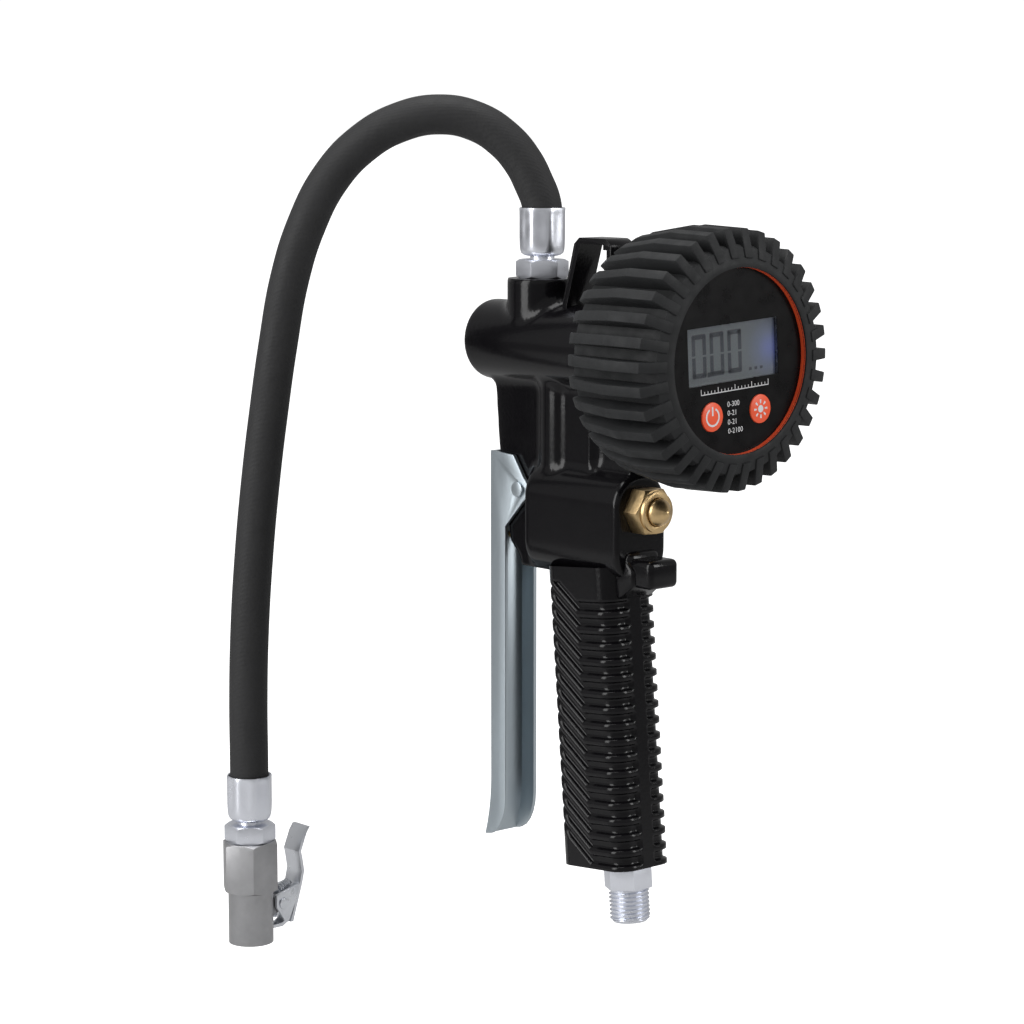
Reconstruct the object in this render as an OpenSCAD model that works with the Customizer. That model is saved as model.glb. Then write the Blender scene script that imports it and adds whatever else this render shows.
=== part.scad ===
// Tyre inflator with a digital gauge, a squeeze lever and a hose with a clip-on chuck.
// Millimetres. X is across the tool, the gauge faces -Y, +Z is up.
// The origin is the inner top of the hanger loop, where a hook bears.

/* [Gauge] */
// Height of the gauge tube's axis below the hanger loop
gauge_drop = 33.3; // [31:0.1:37]
// Distance of the dial's face in front of the loop
dial_reach = 60; // [56:0.5:66]
// Diameter of the dial
dial_d = 57; // [50:0.5:60]
// Diameter of the rubber boot over its ribs
boot_d = 82; // [78:0.5:100]
// Length of the boot
boot_len = 38; // [32:0.5:44]
// Number of ribs round the boot
boot_ribs = 34; // [24:1:40]
// Height of a rib
rib_h = 5.6; // [3:0.1:6]
// Width of a rib
rib_w = 3.5; // [2.5:0.1:4.5]
// Turn of the dial in its boot, anticlockwise from the front
dial_turn = 3.3; // [0:0.1:6]

/* [Body] */
// Diameter of the gauge tube
tube_d = 26.6; // [24:0.1:32]
// Distance of the tube's rear end behind the loop
tube_rear = 54; // [48:0.5:60]
// Diameter of the hose port boss
port_d = 22.8; // [20:0.1:25]
// Distance of the hose port behind the loop
port_y = 29; // [27:0.5:31]
// Width of the valve boss
boss_w = 22; // [20:0.5:26]
// Thickness of the webs between the bosses
web_t = 10.4; // [8:0.1:10.8]

/* [Handle] */
// Depth of the handle, front to back
grip_depth = 31; // [26:0.1:34]
// Width of the handle
grip_w = 23.2; // [20:0.1:26]
// Length of the handle below the valve boss
grip_len = 93; // [80:1:112]
// Lean of the handle, its foot towards the front
grip_lean = 5; // [2:0.5:8]
// Outside diameter of the inlet thread, a male G1/4
inlet_d = 13.157; // [9.5:0.001:17]
// Length of the inlet thread
inlet_len = 10.9; // [9:0.1:15]

/* [Lever] */
// Length of the lever below its pivot
lever_len = 119; // [100:1:125]
// Outside width of the lever's channel
lever_w = 14; // [13.6:0.1:16]
// Sheet thickness of the lever
lever_t = 1.3; // [1:0.1:1.5]
// Depth of the channel's sides
lever_side = 7.2; // [5:0.1:8]
// Diameter of the lever's pin
pin_d = 4; // [3:0.1:5]

/* [Valve] */
// Bore of the main valve's chamber
chamber_d = 7.6; // [7:0.1:8]
// Diameter of the plunger's stem
stem_d = 2.8; // [2:0.1:3.2]
// Size across the flats of the brass cap
cap_af = 14; // [13:0.5:16]
// Diameter of the bleed button
bleed_d = 9; // [7:0.1:9.6]

/* [Hanger] */
// Width of the hanger strap
strap_w = 10; // [7:0.5:12]
// Thickness of the hanger strap
strap_t = 2; // [1.5:0.1:2.5]
// Length of the loop's opening under its top bar
loop_len = 14; // [12:0.5:16]

/* [Hose] */
// Outside diameter of the hose
hose_d = 13; // [10:0.1:13.6]
// Outside diameter of the ferrules
ferrule_d = 15.6; // [15.2:0.1:17]
// Length of a ferrule
ferrule_len = 15.6; // [14:0.1:20]
// Size across the flats of the hose nuts
nut_af = 15; // [13:0.5:17]

/* [Chuck] */
// Size across the flats of the chuck's hexagon
chuck_af = 17.4; // [16.2:0.1:19]
// Diameter of the chuck's sleeve
sleeve_d = 15.2; // [14.6:0.1:16]
// Bore that takes the tyre valve
valve_bore = 8.2; // [8:0.1:9]
// Width of the clip's thumb strip
clip_w = 8.5; // [8:0.1:10]

/* [Hidden] */
$fn = 64;

// Clearances shared by the pieces that meet.
run_gap = 0.05;
fit_gap = 0.1;
free_gap = 0.3;

// Gauge and tube.
gauge_z = -gauge_drop;
tube_r = tube_d / 2;
tube_top = gauge_z + tube_r;
dial_y = -dial_reach;
panel_t = 1.6;
lip_y = dial_y - 2.5;
boot_back = lip_y + boot_len;
boot_r = boot_d / 2;
rib_base_r = boot_r - rib_h;
case_wall = 1.8;
case_r = rib_base_r - 1.4;
case_back = boot_back - 1.6;
case_back_t = 2.4;
tube_front = boot_back + 0.6;
tube_bore = 8;
stem_thread_d = 13.1;
stem_thread_len = 12;
neck_stem_d = 10;
window_w = 38.6;
window_h = 17.6;
window_x = -1.2;
window_z = 2.9;
button_d = 9;
button_x = 10.4;
button_mid = -0.9;
button_drop = 15.9;
lcd_t = 2.8;
board_t = 1.6;
board_gap = 1;
board_y = dial_y + panel_t + lcd_t + board_gap;
board_r = case_r - case_wall - 1;
cell_d = 11.6;
cell_t = 5.4;
cell_x = 17.5;
cell_z = gauge_z - 2;

// Body.
port_top = -12;
port_r = port_d / 2;
port_thread_d = 11.8;
port_thread_len = 11;
column_y = 18.5;
column_d = 15.2;
passage_d = 5;
bleed_z = gauge_z - boot_r - 9.2;
valve_z = bleed_z - 14.5;
boss_top = bleed_z + 11.5;
boss_bottom = bleed_z - 23.5;
boss_front = -18.5;
boss_rear = 26;
web_rear = 36;
plug_d = 16;
plug_len = 8;
boss_r = boss_w / 2;
strap_root = 4.5;
strap_rear_y = 12.6;
strap_front_y = -(loop_len + strap_t) / 2;

// Lever.
pivot = [32.8, bleed_z + 2.1];
lever_back = 46.7;
ear_r = 4.5;
lever_top = bleed_z + 13.8;
lever_foot = pivot[1] - lever_len;
lever_front = lever_back - lever_side;
lever_wall = lever_back - lever_t;
lever_flare = 3;
flare_len = 20;
foot_round = 14;

// Main valve, its axis along Y.
chamber_end = -7;
seat_y = 10;
seat_t = 3;
seat_hole_d = 4.6;
bush_len = 6;
poppet_d = 6.6;
poppet_t = 3;
poppet_seal_t = 1;
oring_t = 1.6;

// Bleed valve.
cap_front = boss_front - 7.6;
cap_thread_d = 12;
cap_thread_len = 8;
cap_ring_d = 13;
bleed_nose = 4.8;
bleed_stem_d = bleed_d - 2.2;
bleed_pin_d = 3;
bleed_tail = boss_front + cap_thread_len + 2.3;
bleed_chamber_end = boss_front + 18;

// Handle and inlet.
grip_top_y = 0.5;
grip_corner = 6.2;
inlet_offset = -5.2;
inlet_hex_af = 14;
inlet_hex_h = 7.6;
inlet_turn = 31;
inlet_socket_d = 11;
inlet_socket_len = 12;
inlet_bore_d = 7;
seal_t = 1;

// Hose ends: a hexagon, a short neck, then the crimped ferrule.
nut_h = 6;
neck_h = 1.2;
neck_d = 8;
crimp_depth = 12;
barb_d = 6.6;
tail_bore_d = 4;
nut_turn = 23;
port_mouth = port_top + nut_h + neck_h + ferrule_len;

// Chuck, built about its own axis with its foot at z = 0.
chuck_foot = -238.6;
sleeve_len = 18;
chuck_hex_h = 17.2;
chuck_top = sleeve_len + chuck_hex_h;
lug_w = 5.6;
rivet_d = 2.4;
rivet_x = 10.8;
rivet_z = 12;
clip_t = 1.1;
chuck_thread_d = 10;
chuck_thread_len = 10;
valve_seat_z = 11;
chuck_seal_t = 4;
tooth_z = 3.4;
tooth_t = 1.2;
chuck_mouth = chuck_foot + chuck_top + nut_h + neck_h + ferrule_len;

// Hose: points chosen along its middle, from the crimp at the port to the crimp at the chuck.
hose_x = -66;
hose_y = 103.5;
hose_points = [
  [0, port_y, port_mouth - crimp_depth], [0, port_y, 6], [-0.2, port_y + 0.2, 12], [-2, 31, 18.8],
  [-4.4, 33.8, 25.8], [-8.4, 38.5, 32.8], [-14.2, 45.4, 38.4], [-22.2, 54, 40.7], [-31, 64, 38.2],
  [-39.3, 73.3, 31.2], [-46.4, 81.4, 19.9], [-51.8, 87.6, 4.4], [-55.5, 91.9, -13],
  [-58.2, 95, -34.5], [-60.4, 97.5, -56.3], [-62.5, 99.8, -80.1], [-64.3, 101.7, -106],
  [-65.5, 103, -132], [hose_x, hose_y, -156], [hose_x, hose_y, -175],
  [hose_x, hose_y, chuck_mouth - crimp_depth]];
hose_sides = 12;
hose_steps = 3;

// A cylinder along Y from y0 to y1, with its axis at x = 0 and height z.
module rod_y(d, y0, y1, z = 0, x = 0) {
  translate([x, y1, z]) rotate([90, 0, 0]) cylinder(d = d, h = y1 - y0);
}

// A ring along Y.
module ring_y(od, id, y0, y1, z = 0, x = 0) {
  difference() {
    rod_y(od, y0, y1, z, x);
    rod_y(id, y0 - 1, y1 + 1, z, x);
  }
}

// A profile drawn as [y, z], extruded across X to the width w.
module plate_x(w) {
  translate([-w / 2, 0, 0]) rotate([90, 0, 90]) linear_extrude(w) children();
}

// A profile drawn as [x, z], extruded along Y from y0 to y1.
module bar_y(y0, y1) {
  translate([0, y1, 0]) rotate([90, 0, 0]) linear_extrude(y1 - y0) children();
}

// A rectangle with round corners, in exact pieces.
module round_rect(w, h, r) {
  square([w - 2 * r, h], center = true);
  square([w, h - 2 * r], center = true);
  for (sx = [-1, 1], sy = [-1, 1])
    translate([sx * (w / 2 - r), sy * (h / 2 - r)]) circle(r);
}

// A hexagonal prism with its outer corners turned off at the chosen ends.
module hex_nut(af, h, top = true, bottom = true) {
  corner = af / 2 / cos(30);
  lead = (corner - af / 2) * 0.6;
  intersection() {
    cylinder(r = corner, h = h, $fn = 6);
    rotate_extrude() polygon([[0, 0], [bottom ? af / 2 : corner, 0], [corner, bottom ? lead : 0],
      [corner, top ? h - lead : h], [top ? af / 2 : corner, h], [0, h]]);
  }
}

// A coil spring along +Z, its wire swept with eight sides.
module coil(d, wire, length, turns) {
  sides = 8;
  steps = 14;
  count = turns * steps;
  rings = [for (i = [0:count]) let (a = 360 * i / steps, z = wire / 2 + (length - wire) * i / count)
    [for (j = [0:sides - 1]) let (b = 360 * j / sides, r = d / 2 - wire / 2 + wire / 2 * cos(b))
      [r * cos(a), r * sin(a), z + wire / 2 * sin(b)]]];
  sweep(rings, sides);
}

// A closed solid over rings of points that all have the same number of sides.
module sweep(rings, sides) {
  last = len(rings) - 1;
  polyhedron(
    points = [for (ring = rings) for (p = ring) p],
    faces = concat(
      [[for (j = [0:sides - 1]) j]],
      [for (i = [0:last - 1]) for (j = [0:sides - 1])
        [i * sides + j, (i + 1) * sides + j, (i + 1) * sides + (j + 1) % sides, i * sides + (j + 1) % sides]],
      [[for (j = [sides - 1:-1:0]) last * sides + j]]));
}

// Places a piece that turns with the handle's lean, about the middle of its top.
module on_grip() {
  translate([0, grip_top_y, boss_bottom]) rotate([-grip_lean, 0, 0]) children();
}

// The inlet's axis, with z = 0 at the handle's foot and the thread pointing down.
module on_inlet() {
  on_grip() translate([0, inlet_offset, -grip_len]) children();
}

// ---- Body ----

module body_outside() {
  rod_y(tube_d, tube_front, tube_rear, gauge_z);
  translate([0, port_y, gauge_z]) cylinder(r = port_r, h = port_top - gauge_z);
  translate([0, column_y, valve_z]) cylinder(d = column_d, h = gauge_z - valve_z);
  bar_y(boss_front, boss_rear) translate([0, (boss_top + boss_bottom) / 2])
    round_rect(boss_w, boss_top - boss_bottom, boss_r - 1);
  plate_x(web_t) polygon([
    [lever_back, gauge_z - 12], [lever_back - 1.8, lever_top + 2.6], [lever_wall - 1.6, lever_top - 4],
    [pivot[0] + 7.4, pivot[1] - 2], [web_rear + 4, valve_z + 3], [web_rear + 3, valve_z - 1.5],
    [web_rear - 1.6, boss_bottom + 3.4], [web_rear - 2.4, boss_bottom], [0, boss_bottom], [0, gauge_z - 12]]);
  plate_x(web_t / 2) polygon([
    [column_y, gauge_z], [column_y, boss_top - 5],
    [boss_front + 2, boss_top - 5], [boss_front + 2, boss_top + 1],
    [tube_front + 6, gauge_z - tube_r + 2], [tube_front + 6, gauge_z]]);
  hook_lug();
  grip_core();
}

module hook_lug() {
  lug_top = valve_z + 0.2;
  lug_bottom = boss_bottom - 4;
  bar_y(boss_front - 10.3, boss_front + 4) translate([0, (lug_top + lug_bottom) / 2])
    round_rect(11, lug_top - lug_bottom, 2.4);
  plate_x(boss_w - 6) polygon([[boss_front + 0.5, boss_bottom + 8], [boss_front - 3, boss_bottom + 1],
    [boss_front - 3, boss_bottom - 3], [boss_front + 5, boss_bottom - 7], [boss_front + 9, boss_bottom]]);
}

module grip_core() {
  on_grip() translate([0, 0, -grip_len]) linear_extrude(grip_len + 5)
    round_rect(grip_w, grip_depth, grip_corner);
}

module body_casting() {
  color([0.1, 0.1, 0.11]) difference() {
    body_outside();
    // Gauge tube: through bore, stem thread in front, plug at the back.
    rod_y(tube_bore, tube_front - 1, tube_rear + 1, gauge_z);
    rod_y(stem_thread_d + 2 * fit_gap, tube_front - 1, tube_front + stem_thread_len, gauge_z);
    rod_y(plug_d + 2 * fit_gap, tube_rear - plug_len, tube_rear + 1, gauge_z);
    // Hose port.
    translate([0, port_y, gauge_z]) cylinder(d = passage_d, h = port_top - gauge_z + 1);
    translate([0, port_y, port_top - port_thread_len])
      cylinder(d = port_thread_d + 2 * fit_gap, h = port_thread_len + 1);
    // Passage up the column.
    translate([0, column_y, valve_z]) cylinder(d = passage_d, h = gauge_z - valve_z);
    // Main valve's chamber, open at the back.
    rod_y(chamber_d, chamber_end, web_rear + 5, valve_z);
    // Bleed valve's chamber, open at the front, and its way to the column.
    rod_y(cap_thread_d + 2 * fit_gap, boss_front - 1, bleed_chamber_end, bleed_z);
    rod_y(passage_d - 1, bleed_chamber_end - 1, column_y, bleed_z);
    // Lever pin.
    translate([0, pivot[0], pivot[1]]) rotate([0, 90, 0])
      cylinder(d = pin_d + 2 * run_gap, h = web_t + 20, center = true);
    // Inlet socket and the passage up the handle.
    on_inlet() translate([0, 0, -1]) cylinder(d = inlet_socket_d + 2 * fit_gap, h = inlet_socket_len + 1);
    on_inlet() cylinder(d = inlet_bore_d, h = grip_len + valve_z - boss_bottom);
    // Slots for the hanger strap.
    for (y = [strap_rear_y, strap_front_y])
      translate([-strap_w / 2 - fit_gap, y - strap_t / 2 - fit_gap, tube_top - strap_root])
        cube([strap_w + 2 * fit_gap, strap_t + 2 * fit_gap, strap_root + 3]);
  }
}

module hanger_strap() {
  half = loop_len / 2;
  outer_r = strap_t + 1.6;
  low = tube_top - strap_root + fit_gap;
  color([0.07, 0.07, 0.08]) plate_x(strap_w) {
    polygon([[strap_front_y - strap_t / 2, low], [strap_front_y + strap_t / 2, low],
      [strap_front_y + strap_t / 2, 0], [half - 1.6, 0], [strap_rear_y - strap_t / 2, tube_top],
      [strap_rear_y - strap_t / 2, low], [strap_rear_y + strap_t / 2, low],
      [strap_rear_y + strap_t / 2, tube_top + 0.4], [half + 1.2, strap_t - 2],
      [half - 1.2, strap_t], [strap_front_y + 2.2, strap_t], [strap_front_y - strap_t / 2, strap_t - 2.6]]);
    translate([strap_front_y - strap_t / 2 + outer_r, strap_t - outer_r]) intersection() {
      circle(outer_r);
      translate([-outer_r, 0]) square(outer_r);
    }
  }
}

module rear_plug() {
  color([0.1, 0.1, 0.11]) rod_y(plug_d, tube_rear - plug_len + fit_gap, tube_rear - 0.4, gauge_z);
}

// ---- Lever ----

// The back of the lever at the height h above its foot, where it flares out.
function flare_y(h) = lever_back + lever_flare * pow(1 - h / flare_len, 2);

module lever_side_profile() {
  reach = lever_side + lever_flare - 0.6;
  difference() {
    union() {
      polygon(concat(
        [[lever_back, lever_top], [pivot[0] + 2.7, lever_top - 0.6],
          [pivot[0] - ear_r * 0.96, pivot[1] + 1.2],
          [pivot[0] - ear_r * 0.9, pivot[1] - 2], [lever_front, pivot[1] - 13]],
        [for (a = [0:15:90]) [lever_front + reach * (1 - cos(a)), lever_foot + foot_round * (1 - sin(a))]],
        [for (i = [0:5]) [flare_y(flare_len * i / 5), lever_foot + flare_len * i / 5]]));
      translate(pivot) circle(ear_r);
    }
    translate(pivot) circle(d = pin_d);
  }
}

module trigger_lever() {
  inside = lever_w - 2 * lever_t;
  below = lever_foot - 5;
  ahead = lever_back - 30;
  color([0.62, 0.64, 0.68]) difference() {
    plate_x(lever_w) lever_side_profile();
    plate_x(inside) polygon(concat(
      [[lever_wall, lever_top + 5]],
      [for (i = [5:-1:0]) [flare_y(flare_len * i / 5) - lever_t, lever_foot + flare_len * i / 5]],
      [[flare_y(0) - lever_t, below], [ahead, below], [ahead, lever_top + 5]]));
  }
}

module lever_pin() {
  color([0.66, 0.68, 0.72]) translate([0, pivot[0], pivot[1]]) rotate([0, 90, 0]) {
    cylinder(d = pin_d, h = lever_w + 0.2, center = true);
    for (s = [0, 1]) mirror([0, 0, s]) translate([0, 0, lever_w / 2]) cylinder(d = pin_d + 1.2, h = 1);
  }
}

// ---- Main valve ----

module plunger() {
  poppet_rear = seat_y - poppet_seal_t;
  color([0.75, 0.6, 0.32]) {
    rod_y(stem_d, poppet_rear - poppet_t, lever_wall - free_gap - 1, valve_z);
    translate([0, lever_wall - free_gap - stem_d / 2, valve_z]) sphere(d = stem_d);
    rod_y(poppet_d, poppet_rear - poppet_t, poppet_rear, valve_z);
  }
}

module poppet_seal() {
  color([0.12, 0.12, 0.12])
    ring_y(poppet_d - 0.2, stem_d + 2 * run_gap, seat_y - poppet_seal_t, seat_y, valve_z);
}

module valve_seat() {
  color([0.75, 0.6, 0.32]) ring_y(chamber_d - fit_gap, seat_hole_d, seat_y + 0.02, seat_y + seat_t, valve_z);
}

module valve_spring() {
  from = chamber_end + 0.2;
  color([0.7, 0.7, 0.72]) translate([0, from, valve_z]) rotate([-90, 0, 0])
    coil(poppet_d - 0.8, 0.7, seat_y - poppet_seal_t - poppet_t - 0.1 - from, 5);
}

module stem_bush() {
  color([0.75, 0.6, 0.32]) difference() {
    rod_y(chamber_d - fit_gap, web_rear - bush_len, web_rear, valve_z);
    rod_y(stem_d + 2 * run_gap, web_rear - bush_len - 1, web_rear + 1, valve_z);
  }
}

module stem_seal() {
  from = web_rear - bush_len - oring_t;
  color([0.12, 0.12, 0.12])
    ring_y(chamber_d - fit_gap, stem_d + 2 * run_gap, from, from + oring_t - 0.05, valve_z);
}

// ---- Bleed valve ----

module brass_cap() {
  color([0.75, 0.58, 0.32]) difference() {
    union() {
      translate([0, boss_front, bleed_z]) rotate([90, 0, 0])
        hex_nut(cap_af, boss_front - cap_front - 1.2, true, false);
      rod_y(cap_ring_d, cap_front, boss_front, bleed_z);
      rod_y(cap_thread_d, boss_front, boss_front + cap_thread_len, bleed_z);
    }
    rod_y(bleed_d + 0.4, cap_front - 1, cap_front + 4, bleed_z);
    rod_y(bleed_d - 2, cap_front, boss_front + cap_thread_len + 1, bleed_z);
  }
}

module bleed_button() {
  cap_end = boss_front + cap_thread_len;
  head_back = cap_front + 1.4;
  color([0.75, 0.58, 0.32]) translate([0, 0, bleed_z]) rotate([90, 0, 0]) rotate_extrude() polygon([
    [0, -bleed_tail], [bleed_stem_d / 2, -bleed_tail], [bleed_stem_d / 2, 1 - bleed_tail],
    [bleed_pin_d / 2, 1 - bleed_tail], [bleed_pin_d / 2, 0.3 - cap_end], [bleed_stem_d / 2, 0.3 - cap_end],
    [bleed_stem_d / 2, -head_back], [bleed_d / 2, -head_back], [bleed_d / 2, -cap_front],
    [bleed_d / 2 * 0.66, bleed_nose * 0.62 - cap_front], [bleed_d / 2 * 0.32, bleed_nose * 0.93 - cap_front],
    [0, bleed_nose - cap_front]]);
}

module bleed_seal() {
  cap_end = boss_front + cap_thread_len;
  color([0.12, 0.12, 0.12]) ring_y(9.6, bleed_pin_d + 0.1, cap_end + 0.05, bleed_tail - 1.05, bleed_z);
}

module bleed_spring() {
  from = bleed_tail + 0.05;
  color([0.7, 0.7, 0.72]) translate([0, from, bleed_z]) rotate([-90, 0, 0])
    coil(bleed_stem_d - 0.6, 0.5, bleed_chamber_end - from - 0.1, 4);
}

// ---- Inlet ----

module inlet_fitting() {
  base = -seal_t;
  color([0.68, 0.7, 0.74]) on_inlet() difference() {
    union() {
      translate([0, 0, base - inlet_hex_h]) rotate(inlet_turn) hex_nut(inlet_hex_af, inlet_hex_h);
      translate([0, 0, base - inlet_hex_h - inlet_len]) cylinder(d = inlet_d, h = inlet_len + 1);
      translate([0, 0, base - 1]) cylinder(d = inlet_socket_d, h = inlet_socket_len);
    }
    translate([0, 0, base - inlet_hex_h - inlet_len - 1]) cylinder(d = inlet_bore_d, h = 60);
  }
}

module inlet_filter() {
  color([0.6, 0.6, 0.62]) on_inlet() translate([0, 0, -inlet_hex_h]) difference() {
    cylinder(d = inlet_bore_d - fit_gap, h = 12);
    translate([0, 0, -1]) cylinder(d = inlet_bore_d - 1.2, h = 12);
  }
}

module inlet_seal() {
  color([0.12, 0.12, 0.12]) on_inlet() translate([0, 0, 0.02 - seal_t]) difference() {
    cylinder(d = inlet_hex_af - 1.2, h = seal_t - 0.04);
    translate([0, 0, -1]) cylinder(d = inlet_socket_d + 0.1, h = seal_t + 2);
  }
}

// ---- Gauge ----

module gauge_stem() {
  color([0.75, 0.6, 0.32]) difference() {
    union() {
      rod_y(stem_thread_d, tube_front, tube_front + stem_thread_len - 0.5, gauge_z);
      rod_y(stem_thread_d + 3, case_back - case_back_t - 4, case_back - case_back_t, gauge_z);
      rod_y(neck_stem_d, case_back - case_back_t, tube_front, gauge_z);
    }
    rod_y(3, case_back - 20, tube_front + 30, gauge_z);
  }
}

module stem_washer() {
  color([0.12, 0.12, 0.12]) ring_y(15, neck_stem_d + 0.1, case_back + 0.02, tube_front - 0.05, gauge_z);
}

module gauge_case() {
  color([0.08, 0.08, 0.08]) difference() {
    rod_y(2 * case_r, dial_y + 0.05, case_back, gauge_z);
    rod_y(2 * (case_r - case_wall), dial_y - 1, case_back - case_back_t, gauge_z);
    rod_y(neck_stem_d + 0.1, dial_y, case_back + 1, gauge_z);
  }
}

module gauge_boot() {
  color([0.16, 0.16, 0.17]) union() {
    translate([0, 0, gauge_z]) rotate([90, 0, 0]) rotate_extrude($fn = 128) polygon([
      [case_r + 0.05, -case_back - 0.05], [case_r - 6, -case_back - 0.05],
      [case_r - 6, -boot_back], [rib_base_r, -boot_back],
      [rib_base_r, -lip_y - 2.4], [rib_base_r - 2, -lip_y - 0.5],
      [dial_d / 2 + 3, -lip_y], [dial_d / 2 + 0.15, -lip_y],
      [dial_d / 2 + 0.15, -lip_y - 0.6], [dial_d / 2 + 0.9, -lip_y - 0.6], [dial_d / 2 + 0.9, 0.5 - dial_y],
      [case_r + 0.05, 0.5 - dial_y]]);
    for (i = [0:boot_ribs - 1])
      translate([0, 0, gauge_z]) rotate([0, (i + 0.5) * 360 / boot_ribs, 0]) boot_rib();
  }
}

// One rib: flat sides, a crown along its length and a sloping shoulder in front.
module boot_rib() {
  plate_x(rib_w) polygon([
    [boot_back - 1, rib_base_r - 1], [boot_back + 0.8, boot_r - 4.4], [(boot_back + lip_y) / 2, boot_r],
    [lip_y + 4.4, boot_r - 1.2], [lip_y + 0.6, rib_base_r - 1.4], [lip_y + 0.2, dial_d / 2 + 3.4],
    [lip_y + 1.6, dial_d / 2 + 3.4], [lip_y + 1.6, rib_base_r - 1]]);
}

module bezel_ring() {
  color([0.85, 0.25, 0.1]) difference() {
    union() {
      rod_y(dial_d + 1.6, lip_y + 0.7, dial_y + panel_t, gauge_z);
      rod_y(2 * case_r, dial_y - 0.42, dial_y, gauge_z);
    }
    rod_y(dial_d + 0.1, lip_y, dial_y + panel_t + 1, gauge_z);
  }
}

// Puts what is drawn on the dial's own axes: x to the right and z up, both from its middle.
module on_dial() {
  translate([0, 0, gauge_z]) rotate([0, -dial_turn, 0]) children();
}

module front_panel() {
  color([0.05, 0.05, 0.05]) on_dial() difference() {
    rod_y(dial_d, dial_y, dial_y + panel_t);
    translate([window_x - window_w / 2, dial_y - 1, window_z - window_h / 2])
      cube([window_w, panel_t + 2, window_h]);
    for (s = [-1, 1])
      rod_y(button_d + 2 * fit_gap, dial_y - 1, dial_y + panel_t + 1,
        -button_drop, button_mid + s * button_x);
  }
}

module display_window() {
  color([0.8, 0.85, 0.85, 0.4]) on_dial()
    translate([window_x - window_w / 2 + 0.05, dial_y + 0.1, window_z - window_h / 2 + 0.05])
      cube([window_w - 0.1, 1.2, window_h - 0.1]);
}

module lcd_module() {
  color([0.45, 0.47, 0.5]) on_dial()
    translate([window_x - window_w / 2 - 1.5, dial_y + panel_t + 0.05, window_z - window_h / 2 - 1.5])
      cube([window_w + 3, lcd_t, window_h + 3]);
}

module circuit_board() {
  color([0.1, 0.35, 0.2]) on_dial() {
    rod_y(2 * board_r, board_y, board_y + board_t);
    for (s = [-1, 1]) {
      rod_y(5, dial_y + panel_t + 2.4, board_y + 0.2, -button_drop, button_mid + s * button_x);
      translate([s * (window_w / 2 - 4) + window_x - 2, dial_y + panel_t + lcd_t + 0.05, window_z - 4])
        cube([4, board_gap + 0.1, 8]);
    }
  }
}

module pressure_sensor() {
  from = board_y + board_t;
  to = case_back - case_back_t - 4.05;
  color([0.65, 0.66, 0.68]) difference() {
    rod_y(13, from + 0.02, to, gauge_z);
    rod_y(3, to - 3, to + 1, gauge_z);
  }
}

module cell_holder(side) {
  from = board_y + board_t + 0.02;
  color([0.15, 0.15, 0.16])
    ring_y(cell_d + 2.4, cell_d + 0.2, from, from + cell_t + 1.6, cell_z, side * cell_x);
}

module coin_cell(side) {
  from = board_y + board_t + 0.1;
  color([0.75, 0.76, 0.78]) rod_y(cell_d, from, from + cell_t, cell_z, side * cell_x);
}

module left_holder() {
  cell_holder(-1);
}

module right_holder() {
  cell_holder(1);
}

module left_cell() {
  coin_cell(-1);
}

module right_cell() {
  coin_cell(1);
}

// A push button, kept in by a flange behind the panel.
module dial_button(x) {
  color([0.92, 0.3, 0.14]) on_dial() {
    rod_y(button_d, dial_y - 0.4, dial_y + panel_t + 1.6, -button_drop, x);
    rod_y(button_d + 1.6, dial_y + panel_t + 0.15, dial_y + panel_t + 0.8, -button_drop, x);
  }
}

module power_button() {
  dial_button(button_mid - button_x);
}

module light_button() {
  dial_button(button_mid + button_x);
}

// ---- Hose and its fittings ----

// A hose end about its own axis: crimped cup upwards, hexagon below it, thread at the bottom.
module hose_tail(thread_d, thread_len) {
  barb_top = nut_h + neck_h + ferrule_len - 2;
  color([0.7, 0.72, 0.76]) difference() {
    union() {
      translate([0, 0, -thread_len]) cylinder(d = thread_d, h = thread_len + 0.1);
      rotate(nut_turn) hex_nut(nut_af, nut_h);
      cylinder(d = neck_d, h = nut_h + neck_h - 0.02);
      cylinder(d = barb_d, h = barb_top);
    }
    translate([0, 0, -thread_len - 1]) cylinder(d = tail_bore_d, h = thread_len + barb_top + 2);
  }
}

// A crimped ferrule: an eight-sided cup that draws in at its foot.
module ferrule() {
  color([0.72, 0.74, 0.78]) difference() {
    union() {
      translate([0, 0, 3]) rotate([0, 0, 22.5]) cylinder(d = ferrule_d, h = ferrule_len - 4.2, $fn = 8);
      rotate_extrude() polygon([[0, 0], [ferrule_d / 2 - 2.6, 0], [ferrule_d / 2 - 1, 1.4],
        [ferrule_d / 2 - 0.7, 3.4], [ferrule_d / 2 - 0.7, ferrule_len - 1.6],
        [ferrule_d / 2 - 0.3, ferrule_len],
        [0, ferrule_len]]);
    }
    translate([0, 0, ferrule_len - crimp_depth]) cylinder(d = hose_d + 0.1, h = crimp_depth + 1);
    translate([0, 0, -1]) cylinder(d = barb_d + 0.1, h = ferrule_len);
  }
}

module port_tail() {
  translate([0, port_y, port_top]) hose_tail(port_thread_d, port_thread_len - 1);
}

module port_ferrule() {
  translate([0, port_y, port_mouth - ferrule_len]) ferrule();
}

module chuck_tail() {
  on_chuck() translate([0, 0, chuck_top]) hose_tail(chuck_thread_d, chuck_thread_len - 1);
}

module chuck_ferrule() {
  translate([hose_x, hose_y, chuck_mouth - ferrule_len]) ferrule();
}

// Catmull-Rom curve through the hose's points.
function curve_at(p, i, t) = let (a = p[max(i - 1, 0)], b = p[i], c = p[i + 1], d = p[min(i + 2, len(p) - 1)])
  0.5 * (2 * b + (c - a) * t + (2 * a - 5 * b + 4 * c - d) * t * t + (3 * b - a - 3 * c + d) * t * t * t);
function unit(v) = v / norm(v);

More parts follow.
